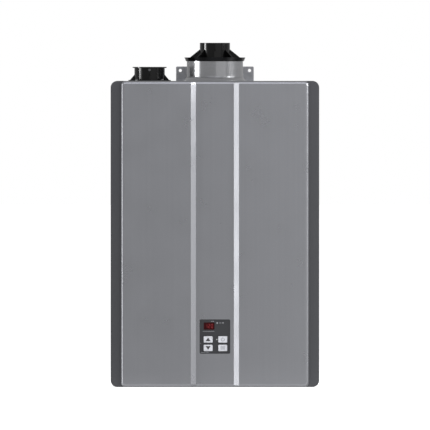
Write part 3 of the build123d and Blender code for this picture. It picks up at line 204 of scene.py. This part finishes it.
def moulded_plastic(name, color, roughness, grain, depth, sheen=0.5):
    """Moulded plastic with a spark-eroded grain and a little uneven gloss."""
    finish = Finish(name)
    finish.set("Specular IOR Level", sheen)
    texture = finish.noise(grain)
    cloud = finish.noise(24, 3.0)
    tone = finish.blend(0.5, texture, cloud)
    finish.set("Base Color", finish.ramp(tone, (0.3, shifted(color, 0.9)), (0.7, shifted(color, 1.1))))
    finish.set("Roughness", finish.span(cloud, roughness - 0.04, roughness + 0.05))
    finish.bump(texture, depth)
    return finish.material


def rubber(name, color, roughness=0.75):
    """Dull rubber with a fine bloom."""
    finish = Finish(name)
    bloom = finish.noise(180, 5.0)
    finish.set("Base Color", finish.ramp(bloom, (0.3, shifted(color, 0.75)), (0.75, shifted(color, 1.3))))
    finish.set("Roughness", finish.span(bloom, roughness - 0.1, roughness + 0.1))
    finish.bump(bloom, 0.00006)
    return finish.material


def display_glass(name):
    """Dark red filter with a faint cloud of its own and a polished face."""
    finish = Finish(name)
    finish.set("Specular IOR Level", 0.15)
    cloud = finish.noise(90)
    finish.set("Base Color", finish.ramp(cloud, (0.3, (0.018, 0.0012, 0.0018)), (0.7, (0.036, 0.002, 0.003))))
    finish.set("Roughness", finish.span(finish.noise(400, 1.0), 0.10, 0.18))
    finish.bump(finish.noise(120, 1.0), 0.000004)
    return finish.material


def solder_mask(name, color):
    """Circuit board: lacquer over copper traces, with bright pads."""
    finish = Finish(name)
    trace = finish.edges(190)
    lacquer = finish.ramp(trace, (0.06, shifted(color, 1.7)), (0.12, color))
    pads = finish.cells(240, "Distance")
    bright = finish.span(pads, 1.0, 0.0, 0.16, 0.19)
    finish.set("Base Color", finish.blend(bright, lacquer, (0.55, 0.52, 0.44, 1.0)))
    finish.set("Roughness", finish.span(pads, 0.25, 0.42, 0.1, 0.3))
    finish.bump(trace, 0.00002)
    return finish.material


def ink_and_painted_shade(name, color, glow=0.0):
    """Printed mark, lit mark or mark of painted shade, with a slightly uneven tone."""
    finish = Finish(name)
    tone = finish.noise(1500)
    ink = finish.ramp(tone, (0.3, shifted(color, 0.92)), (0.7, shifted(color, 1.06)))
    finish.set("Base Color", ink)
    if glow:
        finish.set("Emission Color", ink)
        finish.set("Emission Strength", glow)
    return finish.material


slot_finish = {
    "cover_paint": metallic_paint("cover_paint_metallic", grey(0.333, 0.075), 0.85, 0.30),
    "side_paint": metallic_paint("side_paint_dark", grey(0.122, 0.085), 0.85, 0.34),
    "galvanised": galvanised_sheet("galvanised_sheet", grey(0.34, 0.05), 0.42),
    "collar_steel": turned_metal("collar_steel_spun", grey(0.36, 0.04), 0.16, 0.08, depth=0.000002,
                                 metallic=0.8),
    "screw_steel": turned_metal("screw_zinc", grey(0.66, 0.02), 0.24, axis=(700, 700, 700)),
    "vent_plastic": moulded_plastic("vent_plastic_gloss", grey(0.002, 0.05), 0.13, 700, 0.000001, 0.3),
    "dark_plastic": moulded_plastic("bezel_plastic", grey(0.026, 0.14), 0.42, 3000, 0.00001),
    "display_tint": display_glass("display_filter"),
    "button_plastic": moulded_plastic("button_plastic_pale", grey(0.52, 0.07), 0.40, 3000, 0.000008),
    "circuit_board": solder_mask("circuit_lacquer", (0.012, 0.085, 0.035)),
    "seal_rubber": rubber("seal_rubber_black", grey(0.02)),
    "copper": aged_metal("copper_tube", (0.86, 0.42, 0.27), (0.36, 0.14, 0.08), 0.26),
    "brass_fitting": aged_metal("brass_cast", (0.78, 0.56, 0.27), (0.42, 0.28, 0.12), 0.30),
    "cast_alloy": cast_metal("cast_alloy_grey", grey(0.50, 0.02), 0.46),
    "steel_tube": turned_metal("steel_tube_drawn", grey(0.6, 0.02), 0.26, axis=(500, 500, 5)),
    "light_plastic": moulded_plastic("nylon_pale", (0.62, 0.60, 0.54), 0.45, 1600, 0.00001),
}
dull_steel = turned_metal("dull_steel", grey(0.11, 0.03), 0.5, axis=(500, 500, 500), metallic=0.6)
node_finish = {
    "blower_housing": moulded_plastic("blower_plastic", grey(0.075, 0.04), 0.48, 1500, 0.00002),
    "board_tray": moulded_plastic("tray_plastic", grey(0.028, 0.03), 0.5, 1800, 0.00002),
    "condensate_trap": moulded_plastic("trap_plastic", grey(0.20, 0.03), 0.42, 1500, 0.00001),
    "ignition_transformer": moulded_plastic("transformer_potting", grey(0.018, 0.02), 0.3, 500, 0.00001),
    "condensate_hose": rubber("hose_vinyl", grey(0.30, 0.02), 0.45),
    "ignition_lead": rubber("lead_silicone", (0.28, 0.035, 0.02), 0.5),
    "igniter_electrodes": moulded_plastic("electrode_ceramic", (0.80, 0.79, 0.75), 0.32, 1200, 0.000006),
    "secondary_heat_exchanger": turned_metal("exchanger_stainless", grey(0.58, 0.01), 0.33,
                                             axis=(700, 700, 8)),
    "burner_bars": aged_metal("burner_stainless", grey(0.48), (0.30, 0.20, 0.14), 0.36),
    "exhaust_hood": turned_metal("hood_stainless", grey(0.6, 0.01), 0.3, axis=(300, 300, 300)),
    "vent_screws": dull_steel,
}
for name, node in nodes.items():
    for holder in node.material_slots:
        slot_name = holder.material.name.split(".")[0]
        holder.material = node_finish.get(name) or slot_finish[slot_name]


# Small pieces that the frame leaves to the looks

# Corners of a block's faces, with the corners counted along x first, then y, then z
block_faces = ((0, 2, 3, 1), (4, 5, 7, 6), (0, 1, 5, 4), (2, 6, 7, 3), (0, 4, 6, 2), (1, 3, 7, 5))


def mesh_piece(name, vertices, faces, material, body):
    """Mesh from points in millimetres that rides on a body."""
    mesh = bpy.data.meshes.new(name)
    mesh.from_pydata([Vector(v) * MM for v in vertices], [], faces)
    mesh.validate()
    mesh.materials.append(material)
    piece = bpy.data.objects.new(name, mesh)
    bpy.context.scene.collection.objects.link(piece)
    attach(piece, body)


def front_plates(name, shapes, back_y, thickness, material, body):
    """Flat plates that stand forward of a plane, each a closed run of (x, z) points in millimetres."""
    vertices = []
    faces = []
    for shape in shapes:
        start = len(vertices)
        count = len(shape)
        vertices += [(x, back_y - thickness, z) for x, z in shape]
        vertices += [(x, back_y, z) for x, z in shape]
        faces.append([start + i for i in range(count)])
        faces.append([start + count + i for i in reversed(range(count))])
        for i in range(count):
            j = (i + 1) % count
            faces.append([start + j, start + i, start + count + i, start + count + j])
    mesh_piece(name, vertices, faces, material, body)


def bar(x, z, width, height):
    """Rectangle about a centre."""
    return [(x - width / 2, z - height / 2), (x + width / 2, z - height / 2),
            (x + width / 2, z + height / 2), (x - width / 2, z + height / 2)]


def bar_row(count, x, z, pitch, width, height):
    """Level row of bars, a pitch apart, with the first one about a centre."""
    return [bar(x + pitch * i, z, width, height) for i in range(count)]


def curve(x, z, radius, start, end, steps):
    """Points along part of a circle between two angles in degrees."""
    angles = [math.radians(start + (end - start) * i / steps) for i in range(steps + 1)]
    return [(x + radius * math.cos(a), z + radius * math.sin(a)) for a in angles]


def arc(x, z, inner, outer, start, end, steps):
    """Part of a ring between two angles in degrees."""
    return curve(x, z, outer, start, end, steps) + curve(x, z, inner, start, end, steps)[::-1]


def disc(x, z, radius, steps=24):
    """Round dot."""
    angles = [2 * math.pi * i / steps for i in range(steps)]
    return [(x + radius * math.cos(a), z + radius * math.sin(a)) for a in angles]


def blocks(name, corners, material, body):
    """Square-edged blocks between pairs of corners in millimetres."""
    vertices = []
    faces = []
    for low, high in corners:
        start = len(vertices)
        for z in (low[2], high[2]):
            vertices += [(x, y, z) for y in (low[1], high[1]) for x in (low[0], high[0])]
        for face in block_faces:
            faces.append([start + i for i in face])
    mesh_piece(name, vertices, faces, material, body)


def lathe(name, profile, x, y, material, body, steps=64):
    """Closed run of (radius, height) points turned about an upright axis, in millimetres."""
    vertices = []
    faces = []
    for radius, z in profile:
        vertices += [(*point, z) for point in disc(x, y, radius, steps)]
    for row in range(len(profile)):
        low = row * steps
        high = (row + 1) % len(profile) * steps
        for i in range(steps):
            j = (i + 1) % steps
            faces.append([low + i, low + j, high + j, high + i])
    mesh_piece(name, vertices, faces, material, body)


def solids(node):
    """Boxes of a node's separate solids, in millimetres."""
    mesh = nodes[node].data
    points = [tuple(round(c / MM, 3) for c in vertex.co) for vertex in mesh.vertices]
    group = {point: point for point in points}

    def root(point):
        while group[point] != point:
            group[point] = group[group[point]]
            point = group[point]
        return point

    for edge in mesh.edges:
        first, second = edge.vertices
        group[root(points[first])] = root(points[second])
    boxes = {}
    for point in group:
        low, high = boxes.get(root(point), (point, point))
        boxes[root(point)] = (tuple(map(min, low, point)), tuple(map(max, high, point)))
    return [boxes[key] for key in sorted(boxes)]


def face_y(node):
    """Front plane of a node in millimetres."""
    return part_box(node)[0].y / MM


def middle(node):
    """Centre of a node in millimetres."""
    low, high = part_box(node)
    return (low + high) / 2 / MM


def about(centre, shapes):
    """Shapes drawn about a centre, carried to their place on the front."""
    return [[(centre.x + x, centre.z + z) for x, z in shape] for shape in shapes]


print_thickness = 0.04
dark_ink = ink_and_painted_shade("ink_dark", grey(0.035, 0.05))
grey_ink = ink_and_painted_shade("ink_grey", grey(0.11, 0.06))
pale_ink = ink_and_painted_shade("ink_pale", grey(0.34, 0.06))
red_glow = ink_and_painted_shade("digit_glow", (0.26, 0.010, 0.014), 0.12)
lamp_glow = ink_and_painted_shade("lamp_glow", (0.58, 0.58, 0.58), 0.10)
# Flat near-black colour painted where the screw heads' cross recesses lie in shade
recess_shade_paint = ink_and_painted_shade("recess_painted_shade", grey(0.03))

# Digits of the display
digit_pitch = 6.4
digit_width = 3.6
digit_height = 8.0
digit_stroke = 0.8
digit_gap = 1.25 * digit_stroke


def seven_segments(x, z, lit):
    """Bars of one display digit about a centre, with the lit ones named a to g."""
    left = x - digit_width / 2
    right = x + digit_width / 2
    upper = z + digit_height / 4
    lower = z - digit_height / 4
    level = digit_width - digit_gap
    upright = digit_height / 2 - digit_gap
    places = {
        "a": bar(x, z + digit_height / 2, level, digit_stroke),
        "b": bar(right, upper, digit_stroke, upright),
        "c": bar(right, lower, digit_stroke, upright),
        "d": bar(x, z - digit_height / 2, level, digit_stroke),
        "e": bar(left, lower, digit_stroke, upright),
        "f": bar(left, upper, digit_stroke, upright),
        "g": bar(x, z, level, digit_stroke),
    }
    return [places[key] for key in lit]


display = middle("display_window")
digits = []
for step, lit in ((-1, "bc"), (0, "abged"), (1, "abcdef")):
    digits += seven_segments(display.x + step * digit_pitch, display.z, lit)
front_plates("display_digits", digits, face_y("display_window"), print_thickness, red_glow,
             "cover")


def button_mark(button, shapes, ink):
    """Print on one button's cap, drawn about the cap's centre."""
    front_plates(button + "_mark", about(middle(button), shapes), face_y(button), print_thickness, ink,
                 button + "_body")


arrow = [(-5.6, -4.0), (5.6, -4.0), (0.0, 4.2)]
power_ring = arc(0.0, -0.4, inner=3.0, outer=4.0, start=125, end=415, steps=32)
power_stroke = bar(0.0, 2.4, width=1.0, height=4.0)
menu_lines = [bar(0.0, z, width=10.5, height=1.0) for z in (-2.6, 0.0, 2.6)]
button_mark("button_up", [arrow], dark_ink)
button_mark("button_down", [[(x, -z) for x, z in reversed(arrow)]], dark_ink)
button_mark("button_power", [power_ring, power_stroke], grey_ink)
button_mark("button_menu", menu_lines, grey_ink)

# Plain marks printed on the controller's face, drawn about its centre: a drop, two dots, a wave of bars,
# two rows of ticks and a short rule
drop = [(5.0, 33.4)] + curve(5.0, 30.4, radius=1.4, start=150, end=390, steps=16)
dots = [disc(18.2, 30.8, radius=1.3), disc(-32.5, -15.4, radius=0.7)]
wave = bar_row(2, x=9.6, z=30.6, pitch=3.0, width=1.1, height=0.9)
wave += bar_row(2, x=11.1, z=31.1, pitch=3.0, width=1.1, height=0.9)
ticks = bar_row(12, x=-26.5, z=11.6, pitch=2.2, width=1.3, height=1.1)
foot_ticks = bar_row(10, x=-31.5, z=-35.5, pitch=1.9, width=1.1, height=0.9)
rule = [bar(-7.2, 34.2, width=1.8, height=1.1), bar(-4.0, 34.2, width=2.6, height=1.1)]
bezel_prints = about(middle("control_bezel"), [drop] + dots + wave + ticks + foot_ticks + rule)
bezel_face = face_y("control_bezel")
front_plates("bezel_prints", bezel_prints, bezel_face, print_thickness, pale_ink, "cover")

# Lamp beside the power button
lamp_thickness = 0.3
lamp = bar(4.4, middle("button_power").z, width=1.9, height=1.5)
front_plates("power_lamp", [lamp], bezel_face, lamp_thickness, lamp_glow, "cover")

# Painted shade of the cross recesses in the screw heads: dark crosses stand in for the shade inside them
cross_half = 2.0
cross_stroke = 0.4
cross_depth = 0.03
heater_middle = [(low + high) / 2 / MM for low, high in zip(*size_at_load)]


def screw_crosses(node, axis, body):
    """Dark crosses of painted shade on a node's screw heads, which face along one axis, away from the
    heater's middle.
    """
    across = [i for i in range(3) if i != axis]
    bars = []
    for low, high in solids(node):
        head = [(a + b) / 2 for a, b in zip(low, high)]
        head[axis] = high[axis] if head[axis] > heater_middle[axis] else low[axis]
        for long, short in (across, across[::-1]):
            half = [0, 0, 0]
            half[long] = cross_half
            half[short] = cross_stroke
            half[axis] = cross_depth
            bars.append(([c - h for c, h in zip(head, half)], [c + h for c, h in zip(head, half)]))
    # The crosses carry painted shade, not a colour of the screw itself
    blocks(node + "_recess_shading", bars, recess_shade_paint, body)


screw_crosses("vent_screws", 2, "case")
screw_crosses("case_screws", 0, "case")
screw_crosses("cover_screws", 2, "cover")

# Locking screw in the intake's wall
intake_wall = 34.3
lock_radius = 3.0
lock_drop = 6.6
lock_sunk = 0.2
lock_height = 0.9
intake = middle("intake_collar")
intake_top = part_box("intake_collar")[1].z / MM
front_plates("intake_lock_screw", [disc(intake.x, intake_top - lock_drop, lock_radius)],
             intake.y - intake_wall + lock_sunk, lock_height, dull_steel, "case")

# Threads on the pipe stubs, closed inside the stub's wall
thread_pitch = 1.8
thread_turns = 9
thread_start = 0.6
thread_inside = 12.6
thread_valley = 13.22
thread_crest = 13.45
for stub in ("gas_inlet", "cold_inlet", "hot_outlet"):
    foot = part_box(stub)[0].z / MM + thread_start
    ridge = []
    for turn in range(thread_turns):
        height = foot + turn * thread_pitch
        ridge += [(thread_valley, height), (thread_crest, height + thread_pitch / 2)]
    wall = [(thread_inside, ridge[-1][1]), (thread_inside, foot)]
    centre = middle(stub)
    lathe(stub + "_thread", ridge + wall, centre.x, centre.y, slot_finish["brass_fitting"],
          "case")

# Moulded skins of the gas valve's coils and the water valve's motor, with bright caps in their middles
skin = 0.05
cap_height = 0.9
coil_plastic = moulded_plastic("coil_plastic", grey(0.02, 0.03), 0.38, 1400, 0.000006)


def capped_skins(node, skin_name, cap_name, offsets, radius, length, cap_radius):
    """Skins over the round drums on a valve's front, at offsets from its middle, each with a cap."""
    front = face_y(node)
    centre = middle(node)
    spots = [(centre.x + offset, centre.z) for offset in offsets]
    front_plates(skin_name, [disc(x, z, radius + skin, steps=40) for x, z in spots], front + length,
                 length + skin, coil_plastic, "case")
    front_plates(cap_name, [disc(x, z, cap_radius) for x, z in spots], front, cap_height,
                 slot_finish["screw_steel"], "case")


capped_skins("gas_valve", "gas_coil_skins", "gas_coil_caps", offsets=(-16, 16), radius=11.2, length=33.9,
             cap_radius=5)
capped_skins("water_valve", "water_motor_skin", "water_motor_cap", offsets=(0,), radius=16, length=16.9,
             cap_radius=4)

# Skins of the components on the control board
board_low, board_high = (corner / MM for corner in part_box("control_board"))
board_plate = 1.6
board_face = board_high.y - board_plate
relay_plastic = moulded_plastic("relay_plastic", (0.012, 0.05, 0.16), 0.36, 1600, 0.000006)
chip_epoxy = moulded_plastic("chip_epoxy", grey(0.02, 0.02), 0.5, 2200, 0.00001)
coil_tape = moulded_plastic("coil_tape", (0.55, 0.36, 0.05), 0.4, 900, 0.00001)
sleeve_vinyl = moulded_plastic("capacitor_vinyl", (0.03, 0.035, 0.05), 0.34, 1200, 0.000006)


def board_skins(name, spots, material):
    """Blocks just over the board's components: lower left corner, width, height and depth of each."""
    corners = []
    for x, z, width, height, depth in spots:
        low = (board_low.x + x - skin, board_face - depth - skin, board_low.z + z - skin)
        high = (board_low.x + x + width + skin, board_face, board_low.z + z + height + skin)
        corners.append((low, high))
    blocks(name, corners, material, "case")


plug_pitch = 21
plugs = [(8 + plug_pitch * i, 8, 16, 9, 8) for i in range(6)]
board_skins("board_relays", [(6, 60, 34, 30, 9), (6, 98, 26, 34, 11)], relay_plastic)
board_skins("board_coil", [(102, 96, 30, 30, 10)], coil_tape)
board_skins("board_sink", [(104, 40, 28, 44, 6)], slot_finish["cast_alloy"])
board_skins("board_chip", [(50, 92, 40, 40, 8)], chip_epoxy)
board_skins("board_plugs", plugs, slot_finish["light_plastic"])

# Sleeves and bright tops of the board's round capacitors
can_radius = 6
can_top_radius = 5
can_height = 11
can_row_z = 50
cans = [(board_low.x + x, board_low.z + can_row_z) for x in (58, 74, 90)]
front_plates("board_cans", [disc(x, z, can_radius + skin) for x, z in cans], board_face,
             can_height + skin, sleeve_vinyl, "case")
front_plates("board_can_tops", [disc(x, z, can_top_radius) for x, z in cans], board_face - can_height,
             2 * skin, slot_finish["screw_steel"], "case")


# Camera and light

white = (1.0, 1.0, 1.0)
cool_white = (0.92, 0.93, 1.0)


def area_light(name, place, target, width, height, power, color=white):
    """Soft box that faces a point."""
    data = bpy.data.lights.new(name, "AREA")
    data.shape = "RECTANGLE"
    data.size = width
    data.size_y = height
    data.energy = power
    data.color = color
    light = bpy.data.objects.new(name, data)
    light.location = place
    light.rotation_euler = (Vector(target) - Vector(place)).to_track_quat("-Z", "Y").to_euler()
    bpy.context.scene.collection.objects.link(light)
    return light


view_distance = 44.0
view_rise = math.radians(0.42)
view_width = 0.9719
view_target = Vector((0.0002, 0.0, 0.38684))
camera_data = bpy.data.cameras.new("photo_camera")
camera_data.sensor_width = 36.0
camera_data.lens = camera_data.sensor_width * view_distance / view_width
camera_data.clip_start = 0.1
camera_data.clip_end = 150.0
camera = bpy.data.objects.new("photo_camera", camera_data)
camera.location = view_target + view_distance * Vector((0.0, -math.cos(view_rise), math.sin(view_rise)))
camera.rotation_euler = (math.pi / 2 - view_rise, 0.0, 0.0)
bpy.context.scene.collection.objects.link(camera)
bpy.context.scene.camera = camera

kicker_spread = 26
area_light("softbox_left", (-1.96, -0.53, 0.40), (0, -0.1, 0.40), 0.75, 2.2, 6.0)
area_light("core_left", (-1.94, -0.55, 0.30), (0, -0.1, 0.30), 0.30, 3.6, 13.0)
kicker = area_light("kicker_left", (-0.62, -0.075, 0.775), (0, -0.03, 0.745), 0.05, 0.15, 0.033)
kicker.data.spread = math.radians(kicker_spread)
area_light("softbox_right", (1.90, -0.62, 1.30), (0, -0.1, 1.30), 0.9, 0.7, 42.0)
area_light("fill_right", (1.90, -0.62, 0.20), (0, -0.1, 0.20), 0.9, 0.6, 1.5)
area_light("panel_right", (1.06, -2.26, 0.45), (0, 0, 0.40), 1.95, 2.2, 4.2)
area_light("softbox_top", (0.0, -1.90, 2.10), (0, -0.1, 0.70), 2.4, 1.4, 19.0, cool_white)
area_light("strip_low", (0.0, -0.30, -0.12), (0, -0.20, 0), 1.2, 0.3, 0.45)

# White room that lights the heater less than it shows
backdrop_level = 1.0
ambient_level = 0.42
world = bpy.data.worlds.new("studio")
world.use_nodes = True
bpy.context.scene.world = world
tree = world.node_tree
background = tree.nodes["Background"]
path = tree.nodes.new("ShaderNodeLightPath")
level = tree.nodes.new("ShaderNodeMapRange")
level.inputs["To Min"].default_value = ambient_level
level.inputs["To Max"].default_value = backdrop_level
tree.links.new(path.outputs["Is Camera Ray"], level.inputs["Value"])
tree.links.new(level.outputs["Result"], background.inputs["Strength"])
background.inputs["Color"].default_value = (*white, 1.0)

floor_reach = 60.0
floor_drop = 0.5 * MM
floor_glow = 0.75
floor_mesh = bpy.data.meshes.new("studio_floor")
floor_mesh.from_pydata([(x, y, 0) for x, y in bar(0, 0, 2 * floor_reach, 2 * floor_reach)], [],
                       [(0, 1, 2, 3)])
floor_finish = Finish("studio_floor_white", 0.0, 0.9)
floor_finish.set("Base Color", (0.9, 0.9, 0.9, 1.0))
floor_finish.set("Emission Color", (*white, 1.0))
floor_finish.set("Emission Strength", floor_glow)
floor_mesh.materials.append(floor_finish.material)
floor = bpy.data.objects.new("studio_floor", floor_mesh)
floor.location.z = -floor_drop
floor.visible_glossy = False
floor.visible_shadow = False
bpy.context.scene.collection.objects.link(floor)
bpy.context.scene.view_settings.view_transform = "Standard"
